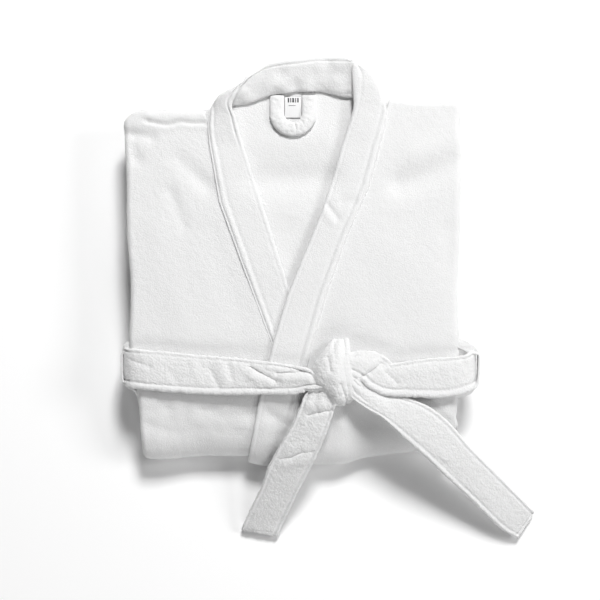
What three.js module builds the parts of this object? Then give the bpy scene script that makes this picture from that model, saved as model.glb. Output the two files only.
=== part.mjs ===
// A terry bathrobe, folded into a rectangular packet and tied with its own belt.
// Millimetres, +Z up, +Y towards the collar, +X towards the right of the front view.
// The robe lies on its back: the chest is on top, the skirt is folded under it in thirds.
// "left" and "right" in a piece's name are the wearer's.
import * as THREE from 'three';

// Driving dimensions of the cloth and the folded stack
const CLOTH = 3.0; // one layer of terry, pressed
const GAP = 0.3; // clearance between touching pieces
const PITCH = CLOTH + GAP;
const TOP_Z = 66; // top of the folded stack
const SHOULDER_Y = 215; // top end of the front panels
const NECK_Y = 228; // top end of the back panel, at the neck seam
const BAND_Y = 205; // top end of the lapel bands
const FOLD_Y = -187; // centre of the big lower fold
const TOP_FOLD_Y = 188.4; // centre of the upper fold
const HEM_Y = -165; // hem of the skirt, inside the packet
const HALF_WIDTH = 203; // half the packet's width

// Levels, as depths below the outer face of the cloth stack
const LEVEL = [0, PITCH, 2 * PITCH]; // left front, right front, back panel
const BACK_FLAP = 10; // the back panel's turned-in flap
const FRONT_FLAP = BACK_FLAP + PITCH; // the front panels' turned-in flaps
const STACK = FRONT_FLAP + CLOTH; // all layers of one third of the packet
const FLAP_EDGE_X = 75; // where the turned-in flaps end

// Tie belt
const BELT_WIDTH = 50;
const BELT_THICK = 6;
const BELT_TOP_Y = -84;
const BELT_SLIDE = 8; // play of the tied belt inside its two loops
const BELT_LEFT_X = -HALF_WIDTH - 0.7; // inside of the belt at the packet's left side
const BELT_RIGHT_X = 216; // inside of the belt where it stands off at the right side
const KNOT_TOP_Z = 94;
const LOOP_THICK = 3;
const LOOP_TALL = 12;

// Sleeves, folded across inside the packet
const SLEEVE_LOW_Y = -25;
const SLEEVE_WIDE = 230;
const SLEEVE_THICK = 6;
const SLEEVE_SLIT = 1;

// Hanger loop and size label at the back of the neck
const HANGER_RADIUS = 21.2;
const HANGER_STRIP = 14.5;
const HANGER_THICK = 6;
const HANGER_LEG_Y = 206;
const LABEL_WIDE = 24;
const LABEL_TALL = 26;
const LABEL_THICK = 0.6;

const BOTTOM_RADIUS = TOP_Z / 2;
const TOP_FOLD_RADIUS = STACK + GAP;
const BACK_TOP_Z = TOP_Z - LEVEL[2]; // outer face of the back panel, seen through the neck

const part = new THREE.Group();

function addMesh(name, geometry, colour = 0xf2f1ee) {
  const material = new THREE.MeshStandardMaterial({ color: colour, roughness: 0.95, metalness: 0 });
  const mesh = new THREE.Mesh(geometry, material);
  mesh.name = name;
  part.add(mesh);
}

// Value at u of the line through [u, value] points, continued straight past both ends
function lineAt(points, u) {
  const rising = points[0][0] < points[points.length - 1][0];
  let i = 1;
  while (i < points.length - 1 && (rising ? u > points[i][0] : u < points[i][0])) i += 1;
  const [u0, v0] = points[i - 1];
  const [u1, v1] = points[i];
  return v0 + ((v1 - v0) * (u - u0)) / (u1 - u0);
}

function ease(u, from, to) {
  const t = Math.min(1, Math.max(0, (u - from) / (to - from)));
  return (1 - Math.cos(Math.PI * t)) / 2;
}

// How far the underside is lifted: over the belt, over the pockets, and flat at both folds
const LIFT_BELT = BELT_THICK + GAP + 0.1;
function lift(y) {
  const overBelt = LIFT_BELT * ease(y, FOLD_Y, -151) - (LIFT_BELT - PITCH) * ease(y, -82, -46);
  return overBelt - PITCH * ease(y, 150, 180);
}

function range(from, to, steps) {
  return Array.from({ length: steps + 1 }, (_, i) => from + ((to - from) * i) / steps);
}

// The folded path of the cloth's outer face, from the shoulder to the hem.
// Each station holds y, z, the inward direction (ny, nz), and a zone: chest, bottom, skirt, top or hem.
function foldedPath(startY) {
  const stations = [];
  const chest = [startY, ...[205, 187, 170.8, 117.7, 94.5, 58.5, 25.6, -14.7, -74.2, -87.4, -147.7]];
  for (const y of new Set(chest)) stations.push({ y, z: TOP_Z, ny: 0, nz: -1, zone: 'chest' });
  for (const a of range(0, Math.PI, 10)) {
    const y = FOLD_Y - BOTTOM_RADIUS * Math.sin(a);
    const z = BOTTOM_RADIUS + BOTTOM_RADIUS * Math.cos(a);
    stations.push({ y, z, ny: Math.sin(a), nz: -Math.cos(a), zone: 'bottom' });
  }
  const floorY = [...range(-181, -151, 5), ...range(-82, -46, 6), ...range(150, 180, 5)];
  for (const y of floorY) stations.push({ y, z: lift(y), ny: 0, nz: 1, zone: 'skirt' });
  for (const a of range(0, Math.PI, 8)) {
    const y = TOP_FOLD_Y + TOP_FOLD_RADIUS * Math.sin(a);
    const z = TOP_FOLD_RADIUS - TOP_FOLD_RADIUS * Math.cos(a);
    stations.push({ y, z, ny: -Math.sin(a), nz: Math.cos(a), zone: 'top' });
  }
  for (const y of [...floorY.filter((v) => v > HEM_Y).reverse(), HEM_Y]) {
    stations.push({ y, z: 2 * TOP_FOLD_RADIUS + lift(y), ny: 0, nz: -1, zone: 'hem' });
  }
  return stations;
}

// Joins equal-length sections, given as rings of THREE.Vector3, into one closed body
function loft(rings) {
  const count = rings[0].length;
  const positions = rings.flat().flatMap((p) => [p.x, p.y, p.z]);
  const index = [];
  for (let i = 0; i < rings.length - 1; i += 1) {
    for (let j = 0; j < count; j += 1) {
      const a = i * count + j;
      const b = i * count + ((j + 1) % count);
      index.push(a, b, b + count, a, b + count, a + count);
    }
  }
  return { positions, index, count, last: (rings.length - 1) * count };
}

function closedGeometry({ positions, index }) {
  const geometry = new THREE.BufferGeometry();
  geometry.setAttribute('position', new THREE.Float32BufferAttribute(positions, 3));
  geometry.setIndex(signedVolume(positions, index) < 0 ? flipped(index) : index);
  geometry.computeVertexNormals();
  return geometry;
}

function signedVolume(positions, index) {
  const corner = (i) => new THREE.Vector3().fromArray(positions, 3 * index[i]);
  let sum = 0;
  for (let i = 0; i < index.length; i += 3) sum += corner(i).dot(corner(i + 1).cross(corner(i + 2)));
  return sum / 6;
}

function flipped(index) {
  const turned = [];
  for (let i = 0; i < index.length; i += 3) turned.push(index[i], index[i + 2], index[i + 1]);
  return turned;
}

// Triangles that fill a flat section, turning the way the section's own points run
function capTriangles(section) {
  const flat = section.map(([x, n]) => new THREE.Vector2(x, n));
  const forward = THREE.ShapeUtils.area(flat) > 0;
  return THREE.ShapeUtils.triangulateShape(flat, []).map(([a, b, c]) => {
    const same = THREE.ShapeUtils.area([flat[a], flat[b], flat[c]]) > 0 === forward;
    return same ? [a, b, c] : [a, c, b];
  });
}

// Sweeps a section, given by a function of the station as [x, depth] points, along a path
function sweep(path, section) {
  const sections = path.map(section);
  const rings = path.map((s, i) =>
    sections[i].map(([x, n]) => new THREE.Vector3(x, s.y + n * s.ny, s.z + n * s.nz)));
  const body = loft(rings);
  for (const [a, b, c] of capTriangles(sections[0])) body.index.push(a, c, b);
  for (const [a, b, c] of capTriangles(sections[sections.length - 1])) {
    body.index.push(a + body.last, b + body.last, c + body.last);
  }
  return closedGeometry(body);
}

// Points of an arc in (x, depth), angles from straight up (towards the outer face), side +1 or -1
function arc(cx, cn, radius, side, steps = 5) {
  return range(0, Math.PI, steps).map((a) => [
    cx + side * radius * Math.sin(a),
    cn - radius * Math.cos(a),
  ]);
}

// Chest outlines of the lapel bands, as [y, x] lines from the neck to the lower fold
const LEFT_SEAM = [[203.7, 117], [117.7, 93.9], [58.5, 67.7], [-14.7, 41.4], [-87.4, 21.4], [-220, -9]];
const LEFT_FREE = [[207.4, 75.6], [170.8, 61], [94.5, 37.8], [-14.7, -6.8], [-74.2, -24.9],
  [-147.7, -42.7], [-220, -57]];
const RIGHT_SEAM = [[187, -105.9], [97.8, -91], [25.6, -64.7], [-80.6, -24.9], [-220, 12]];
const RIGHT_FREE = [[224, -74.5], [167.2, -61.3], [97.8, -38.1], [-1.3, -6.8], [-220, 60]];

// An edge follows its chest line down to the lower fold, and then runs straight
function edgeX(line, station) {
  const straight = line[line.length - 1][1];
  if (station.zone === 'chest' || station.zone === 'bottom') {
    const onTop = station.zone === 'chest' || station.z > BOTTOM_RADIUS;
    return onTop ? lineAt(line, Math.max(station.y, -220)) : straight;
  }
  return straight;
}

// A front panel: from its band seam out to the side, round, and back under the back panel
function frontPanel(side, level, turnDepth, outer, seam) {
  const cx = side * HALF_WIDTH - side * outer;
  return sweep(foldedPath(SHOULDER_Y), (station) => {
    const x = edgeX(seam, station) + side * GAP;
    return [
      [x, level], ...arc(cx, turnDepth, outer, side),
      [side * FLAP_EDGE_X, FRONT_FLAP + CLOTH], [side * FLAP_EDGE_X, FRONT_FLAP],
      ...arc(cx, turnDepth, outer - CLOTH, side).reverse(), [x, level + CLOTH],
    ];
  });
}

// The back panel lies flat under both fronts, with both sides turned in
function backPanel() {
  const inner = GAP / 2 + 0.05;
  const outer = inner + CLOTH;
  const depth = LEVEL[2] + outer;
  const cx = HALF_WIDTH - 8.15 - GAP;
  return sweep(foldedPath(NECK_Y), () => [
    ...arc(cx, depth, outer, 1), [FLAP_EDGE_X, BACK_FLAP + CLOTH], [FLAP_EDGE_X, BACK_FLAP],
    ...arc(cx, depth, inner, 1).reverse(), ...arc(-cx, depth, inner, -1),
    [-FLAP_EDGE_X, BACK_FLAP], [-FLAP_EDGE_X, BACK_FLAP + CLOTH], ...arc(-cx, depth, outer, -1).reverse(),
  ]);
}

function lapelBand(level, seam, free) {
  return sweep(foldedPath(BAND_Y), (station) => {
    const a = edgeX(seam, station);
    const b = edgeX(free, station);
    return [[a, level], [b, level], [b, level + CLOTH], [a, level + CLOTH]];
  });
}

// Offsets a grid of points to both sides along its normals, which makes a closed sheet
function thickSheet(rows, thick) {
  const at = (i, j) => rows[i][j];
  const normal = (i, j) => {
    const across = at(i, Math.min(j + 1, rows[i].length - 1)).clone().sub(at(i, Math.max(j - 1, 0)));
    const along = at(Math.min(i + 1, rows.length - 1), j).clone().sub(at(Math.max(i - 1, 0), j));
    return along.cross(across).normalize();
  };
  const rings = rows.map((row, i) => {
    const front = row.map((p, j) => p.clone().addScaledVector(normal(i, j), thick / 2));
    const back = row.map((p, j) => p.clone().addScaledVector(normal(i, j), -thick / 2));
    return [...front, ...back.reverse()];
  });
  const body = loft(rings);
  const wide = rows[0].length;
  for (let j = 0; j < wide - 1; j += 1) {
    const far = body.count - 1 - j;
    body.index.push(j, far, j + 1, j + 1, far, far - 1);
    const l = body.last;
    body.index.push(l + j, l + j + 1, l + far, l + j + 1, l + far - 1, l + far);
  }
  return closedGeometry(body);
}

// The back-neck part of the collar stands up from the neck seam and leans back over the packet's end
function neckCollar() {
  const base = [[-97, 208], [-84, 217], [-61, 224], [-30, 231], [0, 234], [32, 235], [63, 232],
    [88, 222], [103, 209]];
  const rim = [[-98, 210, 5], [-82, 230, 9], [-64.7, 245, 14], [-34, 259, 15], [3, 265, 15.5],
    [41.4, 268, 16.5], [68, 264, 17], [93.9, 247, 12], [113, 211, 5]];
  const rows = base.map(([x, y], i) => {
    const low = new THREE.Vector3(x, y, BACK_TOP_Z + 3.3);
    const high = new THREE.Vector3(rim[i][0], rim[i][1], TOP_Z + rim[i][2]);
    return [low, low.clone().lerp(high, 0.5), high];
  });
  return thickSheet(rows, 5.5);
}

function hangerLoop() {
  const outer = HANGER_RADIUS + HANGER_STRIP / 2;
  const inner = HANGER_RADIUS - HANGER_STRIP / 2;
  const shape = new THREE.Shape();
  shape.moveTo(-outer, NECK_Y);
  shape.lineTo(-outer, HANGER_LEG_Y);
  shape.absarc(0, HANGER_LEG_Y, outer, Math.PI, 2 * Math.PI, false);
  shape.lineTo(outer, NECK_Y);
  shape.lineTo(inner, NECK_Y);
  shape.lineTo(inner, HANGER_LEG_Y);
  shape.absarc(0, HANGER_LEG_Y, inner, 2 * Math.PI, Math.PI, true);
  shape.lineTo(-inner, NECK_Y);
  const solid = new THREE.ExtrudeGeometry(shape, { depth: HANGER_THICK, bevelEnabled: false, curveSegments: 12 });
  return solid.translate(0, 0, BACK_TOP_Z + GAP);
}

function sizeLabel() {
  const solid = new THREE.BoxGeometry(LABEL_WIDE, LABEL_TALL, LABEL_THICK);
  return solid.translate(0, NECK_Y - 1 - LABEL_TALL / 2, BACK_TOP_Z + GAP + LABEL_THICK / 2);
}

// A flattened sleeve: an open tube along X, seen in (y, z), with a slit between its two layers
function flatTube(x0, x1, lowZ) {
  const shape = new THREE.Shape();
  const high = SLEEVE_THICK / 2;
  const half = SLEEVE_WIDE / 2;
  const slit = SLEEVE_SLIT / 2;
  shape.moveTo(-half + high, -high);
  shape.lineTo(half - high, -high);
  shape.absarc(half - high, 0, high, -Math.PI / 2, Math.PI / 2, false);
  shape.lineTo(-half + high, high);
  shape.absarc(-half + high, 0, high, Math.PI / 2, 1.5 * Math.PI, false);
  const hole = new THREE.Path();
  hole.moveTo(-half + high, -slit);
  hole.lineTo(-half + high, slit);
  hole.lineTo(half - high, slit);
  hole.lineTo(half - high, -slit);
  shape.holes.push(hole);
  const solid = new THREE.ExtrudeGeometry(shape, { depth: x1 - x0, bevelEnabled: false, curveSegments: 4 });
  // The drawing plane (u, v) becomes (y, z) and the extrusion runs along +X
  const axes = new THREE.Matrix4().makeBasis(
    new THREE.Vector3(0, 1, 0), new THREE.Vector3(0, 0, 1), new THREE.Vector3(1, 0, 0));
  solid.applyMatrix4(axes);
  return solid.translate(x0, SLEEVE_LOW_Y + SLEEVE_WIDE / 2, lowZ + high);
}

// A patch pocket on the skirt, which faces down in the packet
function patchPocket(x0, x1) {
  const path = range(-46, 145, 1).map((y) => ({ y, z: lift(y), ny: 0, nz: 1 }));
  return sweep(path, () => [[x0, -PITCH], [x1, -PITCH], [x1, -GAP], [x0, -GAP]]);
}

// Extrudes an outline along +Z, or along +Y when it is drawn in (x, z)
function plate(points, depth, bevel = 0) {
  const shape = new THREE.Shape(points.map(([x, y]) => new THREE.Vector2(x, y)));
  const settings = { depth: depth - 2 * bevel, bevelEnabled: bevel > 0, bevelThickness: bevel,
    bevelSize: bevel, bevelOffset: -bevel, bevelSegments: 2, steps: 1 };
  return new THREE.ExtrudeGeometry(shape, settings).translate(0, 0, bevel);
}

// The two belt carriers, standing out from the packet's sides round the belt
function beltLoop(side, belt) {
  const root = side * (HALF_WIDTH + GAP);
  const inner = belt + side * GAP;
  const outer = inner + side * LOOP_THICK;
  const high = BELT_TOP_Y + 9;
  const low = BELT_TOP_Y - BELT_WIDTH - BELT_SLIDE - 9;
  const round = 6;
  const outline = [
    [root, high], [outer - side * round, high], [outer, high - round], [outer, low + round],
    [outer - side * round, low], [root, low], [root, low + LOOP_THICK],
    [inner - side * (round - 1), low + LOOP_THICK], [inner, low + LOOP_THICK + round - 1],
    [inner, high - LOOP_THICK - round + 1], [inner - side * (round - 1), high - LOOP_THICK],
    [root, high - LOOP_THICK],
  ];
  return plate(side > 0 ? outline.reverse() : outline, LOOP_TALL).translate(0, 0, 50);
}

// The belt's ring round the packet, cut open where the knot sits
function beltWrap() {
  const lid = TOP_Z + GAP + 0.1;
  const inside = [
    [KNOT_LEFT_X - GAP, lid], [-190, lid], [-198, 65], [-202.4, 61.5], [BELT_LEFT_X, 56],
    [BELT_LEFT_X, 12], [-201, BELT_THICK + 1.6], [-196, BELT_THICK], [196, BELT_THICK],
    [206, 9], [212, 18], [BELT_RIGHT_X, 36], [BELT_RIGHT_X, 56], [209, 63.5], [197, lid],
    [KNOT_RIGHT_X + GAP, lid],
  ];
  const outside = inside.map(([x, z], i) => {
    const before = inside[Math.max(i - 1, 0)];
    const after = inside[Math.min(i + 1, inside.length - 1)];
    const step = new THREE.Vector2(after[0] - before[0], after[1] - before[1]).normalize();
    return [x + step.y * BELT_THICK, z - step.x * BELT_THICK];
  });
  const solid = plate([...inside, ...outside.reverse()], BELT_WIDTH);
  // Drawn in (x, z): turned so that the drawing's up is +Z and its depth runs towards -Y
  solid.rotateX(Math.PI / 2);
  return solid.translate(0, BELT_TOP_Y, 0);
}

// Plan outline of the knot; its lower left face starts the short tail, its right face the long one
const KNOT_LEFT_X = 28;
const KNOT_RIGHT_X = 84;
const KNOT = [
  [36, -78], [KNOT_LEFT_X, -96], [30, -137], [52, -148], [72, -146], [KNOT_RIGHT_X, -108],
  [KNOT_RIGHT_X, -88], [76, -78],
];

function beltKnot() {
  return plate(KNOT, KNOT_TOP_Z - TOP_Z - GAP - 0.1, 5).translate(0, 0, TOP_Z + GAP + 0.1);
}

// The path of a tail's lower face through [y, z] points that fall from the knot to the floor
function tailPath(points) {
  return points.map(([y, z], i) => {
    const [y0, z0] = points[Math.max(i - 1, 0)];
    const [y1, z1] = points[Math.min(i + 1, points.length - 1)];
    const step = new THREE.Vector2(y0 - y1, z0 - z1).normalize();
    return { y, z, ny: -step.y, nz: step.x };
  });
}

// A tail of the belt between its two long edges, each a line of [y, x] points in plan
function beltTail(drape, left, right) {
  const path = tailPath(drape);
  const startY = drape[0][0];
  const endY = drape[drape.length - 1][0];
  const extra = [...left, ...right].map(([y]) => y).filter((y) => y < startY && y > endY);
  return sweep(withStations(path, extra), (station) => {
    const a = lineAt(left, station.y);
    const b = lineAt(right, station.y);
    return [[a, 0], [b, 0], [b, BELT_THICK], [a, BELT_THICK]];
  });
}

// Adds stations to a falling path at the given y, between the two that they lie between
function withStations(path, extra) {
  const added = extra.flatMap((y) => {
    const i = path.findIndex((s) => s.y < y);
    const [a, b] = [path[i - 1], path[i]];
    if (a.y - y < 2 || y - b.y < 2) return [];
    const t = (a.y - y) / (a.y - b.y);
    const mix = (key) => a[key] + (b[key] - a[key]) * t;
    return [{ y, z: mix('z'), ny: mix('ny'), nz: mix('nz') }];
  });
  return [...path, ...added].sort((a, b) => b.y - a.y);
}

const OVER_FOLD = [[-187, 66.9], [-195.8, 65.8], [-204.1, 62.4]]; // clear of the lower fold's round
const SHORT_DRAPE = [[-138.6, 66.8], [-155, 66.8], ...OVER_FOLD, [-228, 48.4], [-257, 32.5], [-285, 18],
  [-301, 10], [-312, 4.5], [-323, 0.4]];
const SHORT_LEFT = [[-137.6, 29.6], [-155, 10.3], [-312.2, -65.8], [-323.5, -17]];
const SHORT_RIGHT = [[-137.6, 30.6], [-148.6, 51.6], [-161, 50.8], [-222, 22.9], [-323.5, -15]];
const LONG_DRAPE = [[-109, 72.8], [-134, 72.8], [-146, 69.5], [-160, 67], ...OVER_FOLD, [-230, 47.8],
  [-253, 36], [-280, 22.5], [-300, 12], [-314, 5], [-326, 0.4]];
const LONG_LEFT = [[-108, 84.5], [-146.2, 72.6], [-159.5, 106.5], [-180.5, 127.6], [-204.3, 148.6],
  [-240.6, 185.7], [-326.5, 283]];
const LONG_RIGHT = [[-108, 85.5], [-138, 112], [-142.7, 148.5], [-162, 176.6], [-213.3, 228.8],
  [-292, 309], [-326.5, 285]];

const SLEEVE_ROOT_X = 190;
const SLEEVE_REACH = 262; // how far each sleeve crosses the packet
const SLEEVE_Z = 2 * TOP_FOLD_RADIUS + PITCH + 0.4;

addMesh('back_panel', backPanel());
addMesh('right_front_panel', frontPanel(-1, LEVEL[1], 9.8, 6.5, RIGHT_SEAM));
addMesh('left_front_panel', frontPanel(1, LEVEL[0], 8.15, 8.15, LEFT_SEAM));
addMesh('right_collar_band', lapelBand(LEVEL[1], RIGHT_SEAM, RIGHT_FREE));
addMesh('left_collar_band', lapelBand(LEVEL[0], LEFT_SEAM, LEFT_FREE));
addMesh('neck_collar', neckCollar());
addMesh('hanger_loop', hangerLoop());
addMesh('size_label', sizeLabel(), 0xf7f7f5);
addMesh('right_sleeve', flatTube(-SLEEVE_ROOT_X, SLEEVE_REACH - SLEEVE_ROOT_X, SLEEVE_Z));
addMesh('left_sleeve', flatTube(SLEEVE_ROOT_X - SLEEVE_REACH, SLEEVE_ROOT_X,
  SLEEVE_Z + SLEEVE_THICK + 0.4));
addMesh('right_pocket', patchPocket(-190, -50));
addMesh('left_pocket', patchPocket(60, 195));
addMesh('right_belt_loop', beltLoop(-1, BELT_LEFT_X - BELT_THICK));
addMesh('left_belt_loop', beltLoop(1, BELT_RIGHT_X + BELT_THICK));
addMesh('belt_wrap', beltWrap());
addMesh('belt_knot', beltKnot());
addMesh('belt_short_tail', beltTail(SHORT_DRAPE, SHORT_LEFT, SHORT_RIGHT));
addMesh('belt_long_tail', beltTail(LONG_DRAPE, LONG_LEFT, LONG_RIGHT));

// The origin is the middle of the whole part's box, on the floor
part.updateMatrixWorld(true);
const middle = new THREE.Box3().setFromObject(part, true).getCenter(new THREE.Vector3());
part.position.set(-middle.x, -middle.y, 0);
part.updateMatrixWorld(true);

export default part;
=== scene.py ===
"""A white terry bathrobe, folded to a packet, tied with its belt and lying face up."""
import math

import bpy
import numpy as np
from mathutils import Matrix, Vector

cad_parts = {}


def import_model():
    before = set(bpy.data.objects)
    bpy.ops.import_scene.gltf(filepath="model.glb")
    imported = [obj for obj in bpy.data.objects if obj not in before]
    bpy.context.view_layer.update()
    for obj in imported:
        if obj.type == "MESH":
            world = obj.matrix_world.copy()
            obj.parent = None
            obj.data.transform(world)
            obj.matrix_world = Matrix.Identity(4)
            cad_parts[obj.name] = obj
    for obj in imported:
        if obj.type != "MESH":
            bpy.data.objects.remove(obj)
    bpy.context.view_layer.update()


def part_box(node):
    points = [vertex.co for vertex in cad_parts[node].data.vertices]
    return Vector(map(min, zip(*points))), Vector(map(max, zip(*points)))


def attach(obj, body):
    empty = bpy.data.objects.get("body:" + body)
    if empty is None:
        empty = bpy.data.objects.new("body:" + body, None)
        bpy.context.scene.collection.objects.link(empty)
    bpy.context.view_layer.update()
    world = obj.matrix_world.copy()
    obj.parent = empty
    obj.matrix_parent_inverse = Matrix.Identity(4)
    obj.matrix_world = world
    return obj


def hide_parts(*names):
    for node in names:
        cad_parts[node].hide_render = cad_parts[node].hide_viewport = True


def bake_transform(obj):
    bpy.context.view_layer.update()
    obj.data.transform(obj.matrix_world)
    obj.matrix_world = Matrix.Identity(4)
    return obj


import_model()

# ---------------------------------------------------------------- sizes, in millimetres
# The packet's own coordinates: x from its middle, y as in the cloth path below, z from the floor.
# The collar is at +y, and the wearer's left side at +x.
pack_lo, pack_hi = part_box("back_panel")
NECK_Y = 228.0
ORIGIN = np.array([500 * (pack_lo.x + pack_hi.x), 1000 * pack_hi.y - NECK_Y, 0.0])

CLOTH = 3.0
TOP_Z = 66.0
SHOULDER_Y = 215.0
FOLD_Y = -187.0
TOP_FOLD_Y = 188.4
HEM_Y = -165.0
HALF_WIDTH = 203.0
# Depths under the chest's outer face: the left front, the right front and the back
LEVEL = (0.0, 3.3, 6.6)
FRONT_FLAP = 13.3
BACK_FLAP = 10.0
FLAP_END_X = 75
BOTTOM_R = TOP_Z / 2
TOP_FOLD_R = 16.6
# The underside rises over the belt and over the pockets, and comes down again between these places
BELT_LIFT = 6.4
POCKET_LIFT = 3.3
BELT_RISE_END_Y = -151
BELT_DROP_Y = (-82, -46)
POCKET_DROP_Y = (150, 180)
# Spacing of the mesh rows along the chest, the skirt under it and the inner end of the cloth
CHEST_STEP = 2.5
SKIRT_STEP = 4.5
INNER_STEP = 9

# Edges of the collar bands down the chest: x at places y. Below LINES_END_Y they run straight.
LINES_END_Y = -220.0
LEFT_SEAM = [
    (203.7, 117), (117.7, 93.9), (58.5, 67.7), (-14.7, 41.4), (-87.4, 21.4), (-220, -9),
]
LEFT_FREE = [
    (207.4, 75.6), (170.8, 61), (94.5, 37.8), (-14.7, -6.8), (-74.2, -24.9), (-147.7, -42.7),
    (-220, -57),
]
RIGHT_SEAM = [
    (187, -105.9), (97.8, -91), (25.6, -64.7), (-80.6, -24.9), (-220, 12),
]
RIGHT_FREE = [
    (224, -74.5), (167.2, -61.3), (97.8, -38.1), (-1.3, -6.8), (-220, 60),
]


# ---------------------------------------------------------------- small maths
def ramp(v, low, high):
    """0 below low, 1 above high, smooth between; low may be the larger one."""
    t = np.clip((np.asarray(v, float) - low) / (high - low), 0, 1)
    return t * t * (3 - 2 * t)


def along(points, v):
    """Value at v of the line through (v, value) points, continued straight at both ends."""
    pts = sorted(points)
    xs, ys = np.array(pts, float).T
    v = np.asarray(v, float)
    low = ys[0] + (v - xs[0]) * (ys[1] - ys[0]) / (xs[1] - xs[0])
    high = ys[-1] + (v - xs[-1]) * (ys[-1] - ys[-2]) / (xs[-1] - xs[-2])
    return np.where(v < xs[0], low, np.where(v > xs[-1], high, np.interp(v, xs, ys)))


def noise(points, size, seed):
    """Smooth noise from -1 to 1, with lumps about size millimetres apart."""
    q = points / size
    cell = np.floor(q).astype(np.int64)
    f = q - cell
    f = f * f * (3 - 2 * f)
    total = np.zeros(points.shape[:-1])
    for corner in np.ndindex(2, 2, 2):
        c = cell + corner
        h = (c[..., 0] * 73856093) ^ (c[..., 1] * 19349663) ^ (c[..., 2] * 83492791) ^ (seed * 40503 + 977)
        h = (h ^ (h >> 13)) * 1274126177 & 0x7FFFFFFF
        value = ((h ^ (h >> 15)) & 0xFFFF) / 32767.5 - 1
        weight = np.prod(np.where(corner, f, 1 - f), axis=-1)
        total += weight * value
    return total


def smooth_curve(points, count):
    """Catmull-Rom curve through rows of numbers, sampled evenly in the row index."""
    p = np.array(points, float)
    p = np.vstack([2 * p[0] - p[1], p, 2 * p[-1] - p[-2]])
    t = np.linspace(0, len(points) - 1, count)
    i = np.minimum(t.astype(int), len(points) - 2)
    f = (t - i)[:, None]
    a, b, c, d = p[i], p[i + 1], p[i + 2], p[i + 3]
    square, cube = 2 * a - 5 * b + 4 * c - d, 3 * b - a - 3 * c + d
    return 0.5 * (2 * b + (c - a) * f + square * f**2 + cube * f**3)


def steps(low, high, size):
    """Even places from low to high, about size apart."""
    return np.linspace(low, high, max(2, int(round(abs(high - low) / size)) + 1))


def edged(width, step, radius):
    """Places from 0 to 1 across a strip: even inside, and closer together at both rounded edges."""
    edge = radius * (1 - np.cos(np.linspace(0, math.pi / 2, 5)))
    inner = steps(radius, width - radius, step)
    return np.concatenate([edge[:-1], inner, width - edge[-2::-1]]) / width


def rounded(distance, radius):
    """From 0 at an edge to 1 at radius from it, along a quarter circle."""
    return np.sqrt(np.clip(1 - (1 - np.clip(distance / radius, 0, 1)) ** 2, 0, 1))


def bell(distance, width):
    """1 at distance 0, falling to 0.37 at width and soon to nothing."""
    return np.exp(-((distance / width) ** 2))


def unit(vectors):
    """The same directions with length 1."""
    return vectors / np.linalg.norm(vectors, axis=-1, keepdims=True)


def run_along(points):
    """Distance along a line of points from the first one to each."""
    return np.concatenate([[0], np.cumsum(np.linalg.norm(np.diff(points, axis=0), axis=-1))])


def segment_gap(x, y, a, b):
    """Distance in plan from the segment a-b."""
    dx, dy = b[0] - a[0], b[1] - a[1]
    t = np.clip(((x - a[0]) * dx + (y - a[1]) * dy) / (dx * dx + dy * dy), 0, 1)
    return np.hypot(x - a[0] - t * dx, y - a[1] - t * dy)


# ---------------------------------------------------------------- meshes
def normals(grid):
    """Directions square to a grid of points."""
    down = np.gradient(grid, axis=0)
    across = np.gradient(grid, axis=1)
    n = np.cross(across, down)
    return n / np.maximum(np.linalg.norm(n, axis=-1, keepdims=True), 1e-9)


def sheet_mesh(name, mid, half, pile=0.15, seed=1, flip=False, relief=None):
    """A closed sheet: both faces lie half off the middle grid, and they share its border.

    The pile is real relief on both faces, and it fades out at the border."""
    n = normals(mid)
    if flip:
        n = -n
    rows, cols = mid.shape[:2]
    inside = np.zeros((rows, cols))
    inside[1:-1, 1:-1] = 1
    tuft = noise(mid, 2.9, seed) + 0.7 * noise(mid, 1.6, seed + 1) + 0.15 * noise(mid, 6.0, seed + 2)
    front = mid + n * ((half + pile * tuft * np.minimum(half, 1.5)) * inside)[..., None]
    if relief is not None:
        front = front + n * (relief * inside)[..., None]
    back = mid - n * ((half + pile * tuft * np.minimum(half, 1.5)) * inside)[..., None]
    index = np.arange(rows * cols).reshape(rows, cols)
    back_index = index.copy()
    back_index[1:-1, 1:-1] = rows * cols + np.arange((rows - 2) * (cols - 2)).reshape(rows - 2, cols - 2)
    points = np.vstack([front.reshape(-1, 3), back[1:-1, 1:-1].reshape(-1, 3)])

    def quads(i, forward):
        q = np.stack([i[:-1, :-1], i[1:, :-1], i[1:, 1:], i[:-1, 1:]], axis=-1).reshape(-1, 4)
        return q if forward else q[:, ::-1]

    return mesh_object(name, points, np.vstack([quads(index, flip), quads(back_index, not flip)]))


def mesh_object(name, points, quads):
    """A smooth-shaded object from points in millimetres and rows of four of them."""
    mesh = bpy.data.meshes.new(name)
    mesh.vertices.add(len(points))
    mesh.vertices.foreach_set("co", ((points + ORIGIN) / 1000).astype(np.float32).ravel())
    mesh.loops.add(quads.size)
    mesh.loops.foreach_set("vertex_index", quads.astype(np.int32).ravel())
    mesh.polygons.add(len(quads))
    mesh.polygons.foreach_set("loop_start", np.arange(0, quads.size, 4, dtype=np.int32))
    mesh.polygons.foreach_set("use_smooth", np.ones(len(quads), bool))
    mesh.update(calc_edges=True)
    mesh.validate()
    obj = bpy.data.objects.new(name, mesh)
    bpy.context.scene.collection.objects.link(obj)
    return obj


# ---------------------------------------------------------------- materials
def node(tree, kind, **values):
    """A new node with these values on its sockets or settings."""
    made = tree.nodes.new(kind)
    for key, value in values.items():
        if key in made.inputs:
            made.inputs[key].default_value = value
        else:
            setattr(made, key, value)
    return made


def new_material(name, roughness):
    """A material with this roughness: the material, its node tree and its shader."""
    material = bpy.data.materials.new(name)
    material.use_nodes = True
    shader = material.node_tree.nodes["Principled BSDF"]
    shader.inputs["Roughness"].default_value = roughness
    return material, material.node_tree, shader


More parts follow.
